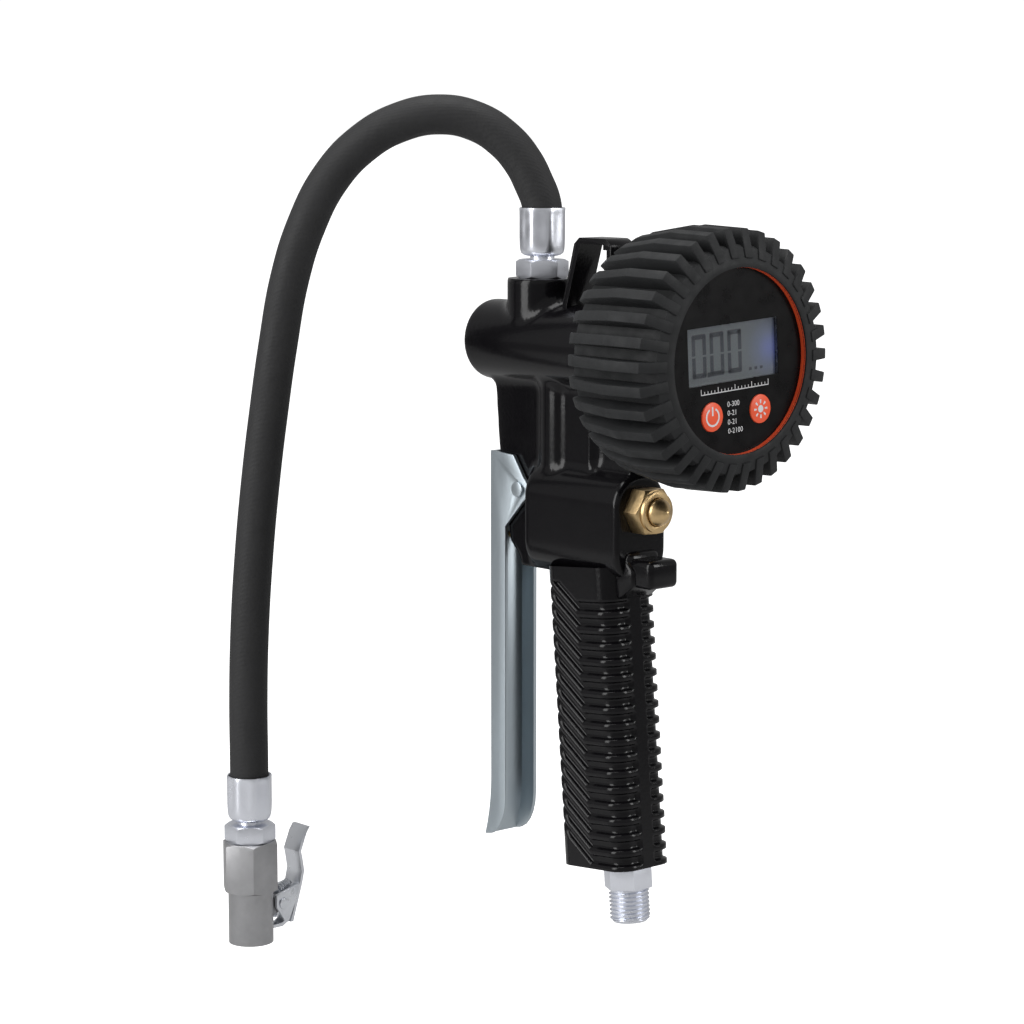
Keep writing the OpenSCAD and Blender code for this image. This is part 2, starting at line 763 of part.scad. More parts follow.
module hose_tube() {
  spans = len(hose_points) - 1;
  path = concat(
    [for (i = [0:spans - 1]) for (k = [0:hose_steps - 1]) curve_at(hose_points, i, k / hose_steps)],
    [hose_points[spans]]);
  last = len(path) - 1;
  side = unit(cross([hose_x, hose_y - port_y, 0], [0, 0, 1]));
  rings = [for (i = [0:last]) let (along = unit(path[min(i + 1, last)] - path[max(i - 1, 0)]),
      across = unit(side - (side * along) * along), other = cross(across, along))
    [for (j = [0:hose_sides - 1]) let (a = 360 * j / hose_sides)
      path[i] + hose_d / 2 * (cos(a) * across + sin(a) * other)]];
  color([0.17, 0.17, 0.18]) sweep(rings, hose_sides);
}

// ---- Chuck ----

module on_chuck() {
  translate([hose_x, hose_y, chuck_foot]) children();
}

module chuck_body() {
  color([0.58, 0.58, 0.6]) on_chuck() difference() {
    union() {
      cylinder(d = sleeve_d, h = sleeve_len + 1);
      translate([0, 0, sleeve_len]) hex_nut(chuck_af, chuck_hex_h);
      // Lug for the rivet.
      rotate([90, 0, 0]) translate([0, 0, -lug_w / 2]) linear_extrude(lug_w) union() {
        polygon([[0, rivet_z + 3], [rivet_x, rivet_z + 2.3], [rivet_x, rivet_z - 2.3], [0, rivet_z - 7]]);
        translate([rivet_x, rivet_z]) circle(r = 2.3);
      }
    }
    // Bore for the tyre valve, the seal's seat above it and the air way.
    translate([0, 0, -1]) cylinder(d = valve_bore, h = valve_seat_z + 1);
    translate([0, 0, valve_seat_z]) cylinder(d = chuck_thread_d + 2 * fit_gap, h = chuck_top);
    // Rivet hole and the slot for the clip's tooth.
    translate([rivet_x, 0, rivet_z]) rotate([90, 0, 0])
      cylinder(d = rivet_d + 2 * run_gap, h = 20, center = true);
    translate([2, -2.7, tooth_z - 1.7]) cube([10, 5.4, tooth_t + 2.8]);
  }
}

module chuck_seal() {
  color([0.15, 0.15, 0.15]) on_chuck() translate([0, 0, valve_seat_z]) difference() {
    cylinder(d = chuck_thread_d, h = chuck_seal_t);
    translate([0, 0, -1]) cylinder(d = 4.4, h = chuck_seal_t + 2);
  }
}

// A pin on a drilled disc, held down by a skirt that reaches up to the hose tail.
module valve_depressor() {
  base = valve_seat_z + chuck_seal_t + 0.05;
  top = chuck_top - chuck_thread_len + 0.95;
  color([0.75, 0.6, 0.32]) on_chuck() {
    difference() {
      translate([0, 0, base]) cylinder(d = chuck_thread_d, h = top - base);
      for (a = [0:120:240]) rotate(a) translate([2.8, 0, base - 1]) cylinder(d = 1.6, h = 6);
      translate([0, 0, base + 2.4]) cylinder(d = 7.4, h = top);
    }
    translate([0, 0, valve_seat_z + free_gap]) cylinder(d = 2.2, h = chuck_seal_t);
  }
}

// The clip's outlines are drawn from the rivet.
module clip_profile() {
  polygon([[-3, 3.2], [-2.9, -1], [0.6, -6.4], [2, -6.8], [8, 6], [4, 5.2]]);
}

module clip_back() {
  line = [[4, -7], [8, 6], [8.9, 10], [8.1, 15], [7.6, 17], [10, 23], [11.5, 25.2]];
  last = len(line) - 1;
  polygon(concat(line, [for (i = [last:-1:0]) line[i] - [clip_t, 0]]));
}

module clip_tooth() {
  tip = [valve_bore / 2 + 0.3 - rivet_x, tooth_z - rivet_z];
  polygon([[3.2, -4.6], [4.2, -5.4], [3.8, -7], [1, tip[1]], tip, tip + [0, tooth_t], [0.4, tip[1] + tooth_t],
    [2.2, -6.4]]);
}

module chuck_clip() {
  inside = lug_w + 2 * free_gap;
  color([0.7, 0.72, 0.75]) on_chuck() translate([rivet_x, 0, rivet_z]) rotate([90, 0, 0]) {
    // Two cheeks on the rivet, the back that joins them with its S-bent thumb strip, and the tooth.
    for (from = [inside / 2, -inside / 2 - clip_t])
      translate([0, 0, from]) linear_extrude(clip_t) difference() {
      clip_profile();
      circle(d = rivet_d);
    }
    translate([0, 0, -clip_w / 2]) linear_extrude(clip_w) clip_back();
    translate([0, 0, -2.2]) linear_extrude(4.4) clip_tooth();
  }
}

module clip_rivet() {
  half = lug_w / 2 + free_gap + clip_t;
  color([0.72, 0.74, 0.77]) on_chuck() translate([rivet_x, 0, rivet_z]) rotate([90, 0, 0]) {
    cylinder(d = rivet_d, h = 2 * half, center = true);
    for (s = [0, 1]) mirror([0, 0, s]) translate([0, 0, half]) cylinder(d = rivet_d + 1.6, h = 0.7);
  }
}

module clip_spring() {
  color([0.7, 0.7, 0.72]) on_chuck() translate([rivet_x + 0.8, 0, rivet_z + 3.8]) rotate([0, 60, 0])
    coil(3, 0.5, 5.5, 5);
}

body_casting();
hanger_strap();
rear_plug();
trigger_lever();
lever_pin();
plunger();
poppet_seal();
valve_seat();
valve_spring();
stem_bush();
stem_seal();
brass_cap();
bleed_button();
bleed_seal();
bleed_spring();
inlet_fitting();
inlet_filter();
inlet_seal();
gauge_stem();
stem_washer();
gauge_case();
gauge_boot();
bezel_ring();
front_panel();
display_window();
lcd_module();
circuit_board();
pressure_sensor();
left_holder();
right_holder();
left_cell();
right_cell();
power_button();
light_button();
port_tail();
port_ferrule();
hose_tube();
chuck_tail();
chuck_ferrule();
chuck_body();
chuck_seal();
valve_depressor();
chuck_clip();
clip_rivet();
clip_spring();
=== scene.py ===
import bpy
import bmesh
from math import pi, sin, cos, radians
from mathutils import Vector, Matrix


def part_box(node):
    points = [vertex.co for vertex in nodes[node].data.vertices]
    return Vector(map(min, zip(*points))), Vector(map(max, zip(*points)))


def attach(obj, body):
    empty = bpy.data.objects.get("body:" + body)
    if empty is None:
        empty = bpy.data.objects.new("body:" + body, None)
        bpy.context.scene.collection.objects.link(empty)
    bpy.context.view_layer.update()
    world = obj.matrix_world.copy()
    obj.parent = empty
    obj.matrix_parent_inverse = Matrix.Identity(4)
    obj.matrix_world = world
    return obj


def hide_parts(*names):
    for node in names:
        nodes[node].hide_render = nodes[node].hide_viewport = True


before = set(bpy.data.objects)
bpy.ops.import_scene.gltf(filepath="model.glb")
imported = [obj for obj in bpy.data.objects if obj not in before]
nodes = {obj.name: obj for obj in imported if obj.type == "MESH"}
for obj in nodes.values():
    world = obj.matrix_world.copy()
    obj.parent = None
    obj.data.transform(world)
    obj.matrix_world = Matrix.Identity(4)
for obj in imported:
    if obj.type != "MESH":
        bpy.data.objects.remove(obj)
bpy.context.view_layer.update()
mm = 0.001


# Camera and hose.

view = {"place": (-0.6477, -0.6972, 0.0475), "target": (0.0, 0.0440, -0.0908), "lens": 104.77}


def makeCamera():
    data = bpy.data.cameras.new("camera")
    data.lens = view["lens"]
    data.sensor_width = 36
    data.clip_end = 20
    camera = bpy.data.objects.new("camera", data)
    camera.location = view["place"]
    aim = Vector(view["target"]) - Vector(view["place"])
    camera.rotation_euler = aim.to_track_quat("-Z", "Y").to_euler()
    bpy.context.scene.collection.objects.link(camera)
    bpy.context.scene.camera = camera


makeCamera()
print("camera set")

hose = {
    "diameter": 0.013,
    "length": 0.3222,
    "route": [  # the middle of the hose, from the crimp at the port to the crimp at the chuck
        (0, 0.029, -0.0012), (0, 0.029, 0.006), (-0.0002, 0.0292, 0.012), (-0.002, 0.031, 0.0188),
        (-0.0044, 0.0338, 0.0258), (-0.0084, 0.0385, 0.0328), (-0.0142, 0.0454, 0.0384),
        (-0.0222, 0.054, 0.0407), (-0.031, 0.064, 0.0382), (-0.0393, 0.0733, 0.0312),
        (-0.0464, 0.0814, 0.0199), (-0.0518, 0.0876, 0.0044), (-0.0555, 0.0919, -0.013),
        (-0.0582, 0.095, -0.0345), (-0.0604, 0.0975, -0.0563), (-0.0625, 0.0998, -0.0801),
        (-0.0643, 0.1017, -0.106), (-0.0655, 0.103, -0.132), (-0.066, 0.1035, -0.156),
        (-0.066, 0.1035, -0.175), (-0.066, 0.1035, -0.1924)]}


def makeHose():
    curve = bpy.data.curves.new("hose", "CURVE")
    curve.dimensions = "3D"
    curve.bevel_depth = hose["diameter"] / 2
    curve.bevel_resolution = 12
    curve.resolution_u = 12
    curve.use_fill_caps = True
    spline = curve.splines.new("BEZIER")
    spline.bezier_points.add(len(hose["route"]) - 1)
    for point, place in zip(spline.bezier_points, hose["route"]):
        point.co = place
        point.handle_left_type = point.handle_right_type = "AUTO"
    piece = bpy.data.objects.new("hose", curve)
    bpy.context.scene.collection.objects.link(piece)
    return piece


hosePiece = makeHose()
print("hose laid")


# Materials.

def newMaterial(name, color, metallic=0.0, roughness=0.5):
    material = bpy.data.materials.new(name)
    material.use_nodes = True
    tree = material.node_tree
    shader = tree.nodes["Principled BSDF"]
    shader.inputs["Base Color"].default_value = (*color, 1)
    shader.inputs["Metallic"].default_value = metallic
    shader.inputs["Roughness"].default_value = roughness
    material.diffuse_color = (*color, 1)
    return material, tree, shader


def objectPoint(tree, stretch=(1, 1, 1), turn=(0, 0, 0), shift=(0, 0, 0)):
    coords = tree.nodes.new("ShaderNodeTexCoord")
    mapping = tree.nodes.new("ShaderNodeMapping")
    mapping.inputs["Scale"].default_value = stretch
    mapping.inputs["Rotation"].default_value = turn
    mapping.inputs["Location"].default_value = shift
    tree.links.new(coords.outputs["Object"], mapping.inputs["Vector"])
    return mapping.outputs["Vector"]


def noiseOf(tree, point, scale, detail=3.0, rough=0.55):
    noise = tree.nodes.new("ShaderNodeTexNoise")
    noise.inputs["Scale"].default_value = scale
    noise.inputs["Detail"].default_value = detail
    noise.inputs["Roughness"].default_value = rough
    tree.links.new(point, noise.inputs["Vector"])
    return noise.outputs["Fac"]


def spread(tree, value, low, high, start=0.3, end=0.7):
    span = tree.nodes.new("ShaderNodeMapRange")
    span.inputs["From Min"].default_value = start
    span.inputs["From Max"].default_value = end
    span.inputs["To Min"].default_value = low
    span.inputs["To Max"].default_value = high
    tree.links.new(value, span.inputs["Value"])
    return span.outputs["Result"]


def tint(tree, value, stops):
    ramp = tree.nodes.new("ShaderNodeValToRGB")
    ramp.color_ramp.elements[0].position = stops[0][0]
    ramp.color_ramp.elements[0].color = (*stops[0][1], 1)
    ramp.color_ramp.elements[1].position = stops[-1][0]
    ramp.color_ramp.elements[1].color = (*stops[-1][1], 1)
    for place, color in stops[1:-1]:
        ramp.color_ramp.elements.new(place).color = (*color, 1)
    tree.links.new(value, ramp.inputs["Fac"])
    return ramp.outputs["Color"]


def addBump(tree, shader, height, distance, strength=1.0, under=None):
    bump = tree.nodes.new("ShaderNodeBump")
    bump.inputs["Strength"].default_value = strength
    bump.inputs["Distance"].default_value = distance
    tree.links.new(height, bump.inputs["Height"])
    if under is not None:
        tree.links.new(under, bump.inputs["Normal"])
    tree.links.new(bump.outputs["Normal"], shader.inputs["Normal"])
    return bump.outputs["Normal"]


def shade(color, factor):
    return tuple(channel * factor for channel in color)


def makeFinish(name, color, metallic, rough, grain, grainDepth, patch=60, vary=0.25, stretch=(1, 1, 1)):
    # A base colour that drifts in broad patches, uneven gloss, and a fine grain in relief.
    material, tree, shader = newMaterial(name, color, metallic, rough)
    point = objectPoint(tree, stretch)
    patches = noiseOf(tree, point, patch, 4)
    color = tint(tree, patches, [(0.25, shade(color, 1 - vary)), (0.75, shade(color, 1 + vary))])
    tree.links.new(color, shader.inputs["Base Color"])
    tree.links.new(spread(tree, noiseOf(tree, point, patch * 2.3, 5), rough * 0.8, rough * 1.25),
                   shader.inputs["Roughness"])
    addBump(tree, shader, noiseOf(tree, point, grain, 4, 0.6), grainDepth)
    return material, tree, shader


def makeBlackPaint():
    material, tree, shader = makeFinish("blackPaint", (0.0038, 0.0035, 0.0043), 0.0, 0.17, 900, 0.00005, 45, 0.12)
    shader.inputs["Coat Weight"].default_value = 0.12
    shader.inputs["Coat Roughness"].default_value = 0.08
    shader.inputs["Specular IOR Level"].default_value = 0.17
    return material


def makeBootRubber():
    material, tree, shader = makeFinish("bootRubber", (0.0165, 0.0172, 0.0182), 0.0, 0.62, 2600, 0.00005, 70, 0.14)
    shader.inputs["Specular IOR Level"].default_value = 0.26
    return material


def makeHoseRubber():
    # Wrapped rubber: a fine cloth print from the curing tape, as slightly raised cross threads.
    material, tree, shader = newMaterial("hoseRubber", (0.019, 0.019, 0.0198), 0.0, 0.66)
    point = objectPoint(tree)
    patches = noiseOf(tree, point, 85, 5)
    color = tint(tree, patches, [(0.2, (0.0135, 0.0135, 0.0142)), (0.8, (0.0245, 0.0245, 0.0255))])
    tree.links.new(color, shader.inputs["Base Color"])
    tree.links.new(spread(tree, patches, 0.58, 0.74), shader.inputs["Roughness"])
    weave = tree.nodes.new("ShaderNodeTexWave")
    weave.wave_type = "BANDS"
    weave.bands_direction = "DIAGONAL"
    weave.inputs["Scale"].default_value = 420
    weave.inputs["Distortion"].default_value = 1.2
    tree.links.new(point, weave.inputs["Vector"])
    first = addBump(tree, shader, weave.outputs["Fac"], 0.00003, 0.8)
    addBump(tree, shader, noiseOf(tree, point, 420, 5, 0.65), 0.00018, 1.0, first)
    shader.inputs["Specular IOR Level"].default_value = 0.35
    return material


def makePanelBlack():
    material, tree, shader = makeFinish("panelBlack", (0.003, 0.0028, 0.0032), 0.0, 0.3, 5200, 0.000004, 90, 0.10)
    shader.inputs["Specular IOR Level"].default_value = 0.14
    return material


# lamp is the middle of a painted blue glow on the display, not a light source; the reach after it is how far that
# painted glow spreads.
display = {"halfWidth": 0.0205, "lamp": (0.0168, 0, 0.0005), "glowReach": 0.0095, "glow": 0.3}


def makeDisplay():
    # Grey display with a painted lighter, bluer patch towards its right end, and a painted blue glow spreading from
    # a spot there.
    material, tree, shader = newMaterial("displayGrey", (0.15, 0.158, 0.17), 0.0, 0.32)
    middle = displayMiddle()
    point = objectPoint(tree, (1, 1, 1), (0, 0, 0), (-middle.x, -middle.y, -middle.z))
    split = tree.nodes.new("ShaderNodeSeparateXYZ")
    tree.links.new(point, split.inputs["Vector"])
    across = spread(tree, split.outputs["X"], 0, 1, -display["halfWidth"], display["halfWidth"])
    # Painted light: the tint grows lighter and bluer towards the painted glow at the right end.
    color = tint(tree, across, [(0.0, (0.15, 0.158, 0.168)), (0.6, (0.17, 0.178, 0.19)),
                                (0.86, (0.17, 0.18, 0.205)), (1.0, (0.15, 0.158, 0.175))])
    tree.links.new(color, shader.inputs["Base Color"])
    # Painted glow: blue emission that falls off with distance from the lamp spot.
    lamp = tree.nodes.new("ShaderNodeVectorMath")
    lamp.operation = "DISTANCE"
    lamp.inputs[1].default_value = display["lamp"]
    tree.links.new(point, lamp.inputs[0])
    near = spread(tree, lamp.outputs["Value"], 1, 0, 0.001, display["glowReach"])
    glow = tint(tree, near, [(0.0, (0, 0, 0)), (0.5, (0.02, 0.035, 0.14)), (1.0, (0.09, 0.13, 0.6))])
    tree.links.new(glow, shader.inputs["Emission Color"])
    shader.inputs["Emission Strength"].default_value = display["glow"]
    addBump(tree, shader, noiseOf(tree, point, 6000, 2), 0.000004)
    return material


def makeWindow():
    material, tree, shader = newMaterial("clearWindow", (0.93, 0.95, 0.96), 0.0, 0.04)
    shader.inputs["Transmission Weight"].default_value = 1.0
    shader.inputs["IOR"].default_value = 1.2
    point = objectPoint(tree)
    tree.links.new(spread(tree, noiseOf(tree, point, 400, 4), 0.02, 0.07), shader.inputs["Roughness"])
    return material


def displayMiddle():
    low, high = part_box("lcd_module")
    return (Vector(low) + Vector(high)) / 2


# Plain finishes: name, colour, metal, roughness, grain scale and depth, patch scale and spread, stretch.
plainFinishes = {
    "lever": ("zincLever", (0.50, 0.56, 0.60), 1.0, 0.36, 700, 0.00002, 26, 0.12, (1, 1, 0.12)),
    "nickel": ("nickelPlate", (0.80, 0.82, 0.88), 1.0, 0.33, 900, 0.00001, 60, 0.03),
    "spring": ("springSteel", (0.74, 0.76, 0.80), 1.0, 0.3, 800, 0.00001, 80, 0.05),
    "chuck": ("chuckMetal", (0.40, 0.40, 0.41), 1.0, 0.42, 3200, 0.00003, 160, 0.08),
    "brass": ("turnedBrass", (0.60, 0.43, 0.22), 1.0, 0.34, 900, 0.00002, 180, 0.12, (1, 6, 1)),  # fine across, as lathe marks are
    "orange": ("orangePlastic", (0.90, 0.10, 0.03), 0.0, 0.38, 2400, 0.00002, 120, 0.06),
    "case": ("casePlastic", (0.013, 0.013, 0.014), 0.0, 0.5, 2600, 0.00003, 90, 0.12),
    "seal": ("sealRubber", (0.014, 0.014, 0.014), 0.0, 0.7, 2400, 0.00002, 90, 0.15),
    "board": ("boardGreen", (0.02, 0.11, 0.045), 0.0, 0.35, 1500, 0.00003, 200, 0.2),
    "white": ("whiteInk", (0.72, 0.72, 0.73), 0.0, 0.5, 4000, 0.000005, 300, 0.05),
    "digit": ("digitInk", (0.060, 0.064, 0.072), 0.0, 0.4, 4000, 0.000003, 300, 0.06)}
finish = {key: makeFinish(*values)[0] for key, values in plainFinishes.items()}
finish["paint"] = makeBlackPaint()
finish["boot"] = makeBootRubber()
finish["hose"] = makeHoseRubber()
finish["panel"] = makePanelBlack()
finish["display"] = makeDisplay()
finish["window"] = makeWindow()
print("materials made")


# Mesh helpers.

def addPiece(bm, name, body, materials, replaced=(), smooth=32):
    mesh = bpy.data.meshes.new(name)
    bm.to_mesh(mesh)
    bm.free()
    for material in materials:
        mesh.materials.append(material)
    mesh.shade_smooth()
    mesh.set_sharp_from_angle(angle=radians(smooth))
    piece = bpy.data.objects.new(name, mesh)
    bpy.context.scene.collection.objects.link(piece)
    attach(piece, body)
    if replaced:
        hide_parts(*replaced)
    return piece


def bevelSharp(bm, width, segments=2, sharper=28):
    edges = [edge for edge in bm.edges if len(edge.link_faces) == 2
             and edge.calc_face_angle(0) > radians(sharper)]
    bmesh.ops.bevel(bm, geom=edges, offset=width, offset_type="OFFSET", segments=segments, profile=0.5,
                    affect="EDGES", material=-1, clamp_overlap=True)


def cadCopy(name):
    # A merged copy of a CAD node, with its flat faces made whole.
    bm = bmesh.new()
    bm.from_mesh(nodes[name].data)
    bmesh.ops.remove_doubles(bm, verts=bm.verts, dist=2e-6)
    bmesh.ops.dissolve_limit(bm, angle_limit=radians(0.6), verts=bm.verts, edges=bm.edges,
                             use_dissolve_boundaries=False, delimit=set())
    return bm


def roundedCopy(name, body, material, width=0.0003, segments=2, sharper=28):
    bm = cadCopy(name)
    bevelSharp(bm, width, segments, sharper)
    return addPiece(bm, name + "_finished", body, [material], (name,))


def spunRing(bm, profile, height, steps):
    # profile: (radius, y) pairs of a closed outline, turned about the line along Y at this height.
    verts = [bm.verts.new((radius, y, height)) for radius, y in profile]
    edges = [bm.edges.new((verts[i], verts[(i + 1) % len(verts)])) for i in range(len(verts))]
    bmesh.ops.spin(bm, geom=verts + edges, cent=(0, 0, height), axis=(0, 1, 0), angle=2 * pi, steps=steps,
                   use_merge=True)
    bmesh.ops.remove_doubles(bm, verts=bm.verts, dist=1e-6)
    bmesh.ops.recalc_face_normals(bm, faces=bm.faces)


# Rubber boot.

boot = {"ribs": 34, "ribWidth": 3.5, "ribHeight": 5.6, "round": 0.35, "crown": 0.94, "flange": 6.0, "lip": 1.2,
        "steps": 136, "backRise": 4.4, "shoulder": 2.5, "frontDrop": 0.5}
gaugeLow, gaugeHigh = (Vector(corner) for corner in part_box("gauge_boot"))
gaugeMid = (gaugeLow + gaugeHigh) / 2
bootRadius = (gaugeHigh.z - gaugeLow.z) / 2
bootFront = gaugeLow.y
bootBack = gaugeHigh.y - 0.8 * mm
dialFront = bootFront + 2.5 * mm


def makeBoot():
    bm = bmesh.new()
    base = bootRadius - boot["ribHeight"] * mm
    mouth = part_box("front_panel")[1][0] + 0.03 * mm
    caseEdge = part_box("gauge_case")[1][0] + 0.05 * mm
    profile = [(caseEdge, dialFront - 0.5 * mm), (caseEdge, bootBack - 1.55 * mm),
               (caseEdge - boot["flange"] * mm, bootBack - 1.55 * mm), (caseEdge - boot["flange"] * mm, bootBack),
               (base - 0.8 * mm, bootBack),
               (base, bootBack - 0.8 * mm), (base, bootFront + 3.4 * mm), (base - 0.8 * mm, bootFront + 1.6 * mm),
               (mouth + 2.6 * mm, bootFront + 0.4 * mm), (mouth + 1.6 * mm, bootFront + 0.05 * mm),
               (mouth + 0.5 * mm, bootFront + 0.05 * mm), (mouth + 0.12 * mm, bootFront + 0.2 * mm),
               (mouth, bootFront + boot["lip"] * mm), (mouth + 0.85 * mm, bootFront + (boot["lip"] + 0.02) * mm),
               (mouth + 0.85 * mm, dialFront - 0.5 * mm)]
    spunRing(bm, profile, gaugeMid.z, boot["steps"])
    rib = bmesh.new()
    half = boot["ribWidth"] * mm / 2
    middle = (bootFront + bootBack) / 2
    side = [(bootBack - 0.6 * mm, base - 1.2 * mm), (bootBack + 0.75 * mm, bootRadius - boot["backRise"] * mm),
            (bootBack - 3.2 * mm, bootRadius - boot["shoulder"] * mm), (middle, bootRadius),
            (bootFront + 3.2 * mm, bootRadius - boot["frontDrop"] * mm),
            (bootFront + 0.02 * mm, mouth + 3.0 * mm),
            (bootFront + 1.0 * mm, mouth + 2.7 * mm), (bootFront + 3.0 * mm, base - 1.2 * mm)]
    verts = [rib.verts.new((-half, y, z)) for y, z in side]
    face = rib.faces.new(verts)
    grown = bmesh.ops.extrude_face_region(rib, geom=[face])["geom"]
    bmesh.ops.translate(rib, vec=(2 * half, 0, 0), verts=[v for v in grown if isinstance(v, bmesh.types.BMVert)])
    bmesh.ops.recalc_face_normals(rib, faces=rib.faces)
    for vert in rib.verts:  # ribs are thinner at the crown than at the root
        if vert.co.z > base + 1.5 * mm:
            vert.co.x *= boot["crown"]
    bmesh.ops.bevel(rib, geom=list(rib.edges), offset=boot["round"] * mm, offset_type="OFFSET", segments=2,
                    profile=0.5, affect="EDGES", material=-1, clamp_overlap=True)
    bmesh.ops.translate(rib, vec=(0, 0, gaugeMid.z), verts=rib.verts)
    bmesh.ops.rotate(rib, cent=(0, 0, gaugeMid.z), matrix=Matrix.Rotation(pi / boot["ribs"], 3, "Y"),
                     verts=rib.verts)
    bmesh.ops.spin(rib, geom=list(rib.verts) + list(rib.edges) + list(rib.faces), cent=(0, 0, gaugeMid.z),
                   axis=(0, 1, 0), angle=2 * pi * (1 - 1 / boot["ribs"]), steps=boot["ribs"] - 1,
                   use_duplicate=True)
    temp = bpy.data.meshes.new("ribs")
    rib.to_mesh(temp)
    rib.free()
    bm.from_mesh(temp)
    bpy.data.meshes.remove(temp)
    return addPiece(bm, "ribbed_boot", "frame", [finish["boot"]], ("gauge_boot",), 40)


makeBoot()
print("boot made")


# Casting.

cast = {"voxel": 0.6, "fillet": 2.4, "smoothing": 5, "lean": 5.0, "gripTop": (0.5, -107.0), "tubeZ": -33.3,
        "tubeRadius": 13.3, "tubeFront": -23.9, "tubeRear": 54.0, "tubeRim": 1.8, "portRadius": 11.4, "portY": 29.0,
        "portTop": -12.0, "columnY": 18.5, "columnRadius": 7.6, "bossLow": (-11.0, -18.5, -107.0),
        "bossHigh": (11.0, 26.0, -72.0), "bossRound": 10.0, "bossRim": 1.6, "valveZ": -98.0, "web": 5.2,
        "thinWeb": 2.6}


def roundedBlock(bm, low, high, radius, segments=3, onlyAlongY=False):
    made = bmesh.ops.create_cube(bm, size=1)["verts"]
    size = Vector(high) - Vector(low)
    bmesh.ops.scale(bm, vec=size, verts=made)
    bmesh.ops.translate(bm, vec=(Vector(high) + Vector(low)) / 2, verts=made)
    edges = {edge for vert in made for edge in vert.link_edges}
    if onlyAlongY:
        edges = {edge for edge in edges if abs(edge.verts[0].co.y - edge.verts[1].co.y) > 1}
    grown = bmesh.ops.bevel(bm, geom=list(edges), offset=radius, offset_type="OFFSET", segments=segments,
                            profile=0.5, affect="EDGES", material=-1, clamp_overlap=True)
    return {vert for face in grown["faces"] for vert in face.verts}


def roundBar(bm, radius, start, end, steps):
    start, end = Vector(start), Vector(end)
    along = end - start
    made = bmesh.ops.create_cone(bm, cap_ends=True, segments=steps, radius1=radius, radius2=radius,
                                 depth=along.length)["verts"]
    aim = Vector((0, 0, 1)).rotation_difference(along).to_matrix()
    bmesh.ops.rotate(bm, cent=(0, 0, 0), matrix=aim, verts=made)
    bmesh.ops.translate(bm, vec=(start + end) / 2, verts=made)
    return made


def sidePlate(bm, outline, halfWidth):
    # outline: (y, z) points, made a slab across X.
    verts = [bm.verts.new((-halfWidth, y, z)) for y, z in outline]
    face = bm.faces.new(verts)
    grown = bmesh.ops.extrude_face_region(bm, geom=[face])["geom"]
    moved = [v for v in grown if isinstance(v, bmesh.types.BMVert)]
    bmesh.ops.translate(bm, vec=(2 * halfWidth, 0, 0), verts=moved)
    faces = {f for v in verts + moved for f in v.link_faces}
    bmesh.ops.recalc_face_normals(bm, faces=list(faces))
    return verts + moved


def castingSolids(bm):
    # Built in millimetres and scaled at the end. The tube, port, column, valve boss and webs.
    z = cast["tubeZ"]
    rear, columnY = cast["tubeRear"], cast["columnY"]
    tube = roundBar(bm, cast["tubeRadius"], (0, cast["tubeFront"], z), (0, rear, z), 64)
    rim = [edge for edge in {e for v in tube for e in v.link_edges}
           if all(vert.co.y > rear - 0.1 for vert in edge.verts)]
    bmesh.ops.bevel(bm, geom=rim, offset=cast["tubeRim"], offset_type="OFFSET", segments=3, profile=0.5,
                    affect="EDGES",
                    material=-1, clamp_overlap=True)
    roundBar(bm, cast["portRadius"], (0, cast["portY"], z), (0, cast["portY"], cast["portTop"]), 64)
    roundBar(bm, cast["columnRadius"], (0, columnY, cast["valveZ"]), (0, columnY, z), 48)
    boss = roundedBlock(bm, cast["bossLow"], cast["bossHigh"], cast["bossRound"], 12, True)
    rims = [edge for edge in {e for v in boss for e in v.link_edges}
            if abs(edge.verts[0].co.y - edge.verts[1].co.y) < 0.01 and edge.calc_face_angle(0) > 0.9]
    bmesh.ops.bevel(bm, geom=rims, offset=cast["bossRim"], offset_type="OFFSET", segments=3, profile=0.5,
                    affect="EDGES", material=-1, clamp_overlap=True)
    sidePlate(bm, [(46.7, z - 12), (44.9, -67.1), (43.8, -73.7), (40.2, -83.4), (40, -95), (39, -99.5),
                   (34.4, -103.6), (33.6, -107), (0, -107), (0, z - 12)], cast["web"])
    sidePlate(bm, [(columnY, z), (columnY, -77), (-16.5, -77), (-16.5, -71), (-17.9, z - 11.3), (-17.9, z)],
              cast["thinWeb"])


def remeshed(bm, offset):
    # The solids fused by voxels; the closing step, out and back again, leaves a fillet in every inside corner.
    mesh = bpy.data.meshes.new("casting")
    bm.to_mesh(mesh)
    bm.free()
    rough = bpy.data.objects.new("casting_rough", mesh)
    bpy.context.scene.collection.objects.link(rough)
    for distance in (0, offset, -offset):
        if distance:
            push = rough.modifiers.new("push", "DISPLACE")
            push.strength = distance
            push.mid_level = 0
        if distance >= 0:
            fuse = rough.modifiers.new("fuse", "REMESH")
            fuse.mode = "VOXEL"
            fuse.voxel_size = cast["voxel"]
    graph = bpy.context.evaluated_depsgraph_get()
    solid = bpy.data.meshes.new_from_object(rough.evaluated_get(graph))
    bpy.data.objects.remove(rough)
    made = bmesh.new()
    made.from_mesh(solid)
    bpy.data.meshes.remove(solid)
    return made


def makeCasting():
    bm = bmesh.new()
    castingSolids(bm)
    bm = remeshed(bm, cast["fillet"])
    for _ in range(cast["smoothing"]):
        bmesh.ops.smooth_vert(bm, verts=bm.verts, factor=0.5, use_axis_x=True, use_axis_y=True, use_axis_z=True)
    bmesh.ops.scale(bm, vec=(mm, mm, mm), verts=bm.verts)
    return addPiece(bm, "valve_casting", "frame", [finish["paint"]], ("body_casting",), 80)


hook = {"low": (-6.3, -29.4, -107.7), "high": (6.3, -15, -98.5), "round": 1.9, "rootLow": (-7, -20.5, -107.5),
        "rootHigh": (7, -12, -96.5), "rootRound": 2.4, "ramp": 7.4, "rampRound": 1.3}


